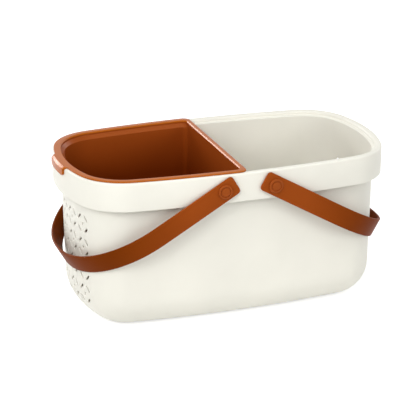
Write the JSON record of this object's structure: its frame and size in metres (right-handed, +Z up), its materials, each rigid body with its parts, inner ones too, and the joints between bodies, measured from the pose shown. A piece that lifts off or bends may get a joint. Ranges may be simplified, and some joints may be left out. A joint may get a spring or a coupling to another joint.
{
  "type": "shower caddy",
  "caption": "Bowed oval bath basket with perforated ends, a lift-out tray over one half and two swing carrying handles.",
  "frame": {"origin": "middle of the underside, on the surface that the basket stands on", "axes": "+Z up, +X along the basket from the tray's half towards the open half, +Y across the basket towards the rear handle pivots"},
  "size_m": [0.4106, 0.2302, 0.1936],
  "materials": {
    "basket_plastic": "smooth satin",
    "tray_plastic": "smooth satin",
    "strap_plastic": "fine matt",
    "button_plastic": "smooth satin",
    "cap_plastic": "smooth satin"
  },
  "bodies": {
    "basket": {"basket": "basket_plastic", "left_front_button": "button_plastic", "left_rear_button": "button_plastic", "right_front_button": "button_plastic", "right_rear_button": "button_plastic", "left_front_cap": "cap_plastic", "left_rear_cap": "cap_plastic", "right_front_cap": "cap_plastic", "right_rear_cap": "cap_plastic"},
    "tray": {"tray": "tray_plastic"},
    "left_handle": {"left_handle": "strap_plastic"},
    "right_handle": {"right_handle": "strap_plastic"}
  },
  "joints": [
    {"name": "left_handle_swing", "type": "hinge", "parent": "basket", "child": "left_handle", "pos_m": [-0.0314, 0, 0.173], "axis": [0, 1, 0], "range_deg": [0, 125]},
    {"name": "right_handle_swing", "type": "hinge", "parent": "basket", "child": "right_handle", "pos_m": [0.0314, 0, 0.173], "axis": [0, -1, 0], "range_deg": [0, 125]},
    {"name": "tray_lift", "type": "slide", "parent": "basket", "child": "tray", "axis": [0, 0, 1], "range_m": [0, 0.05]}
  ]
}
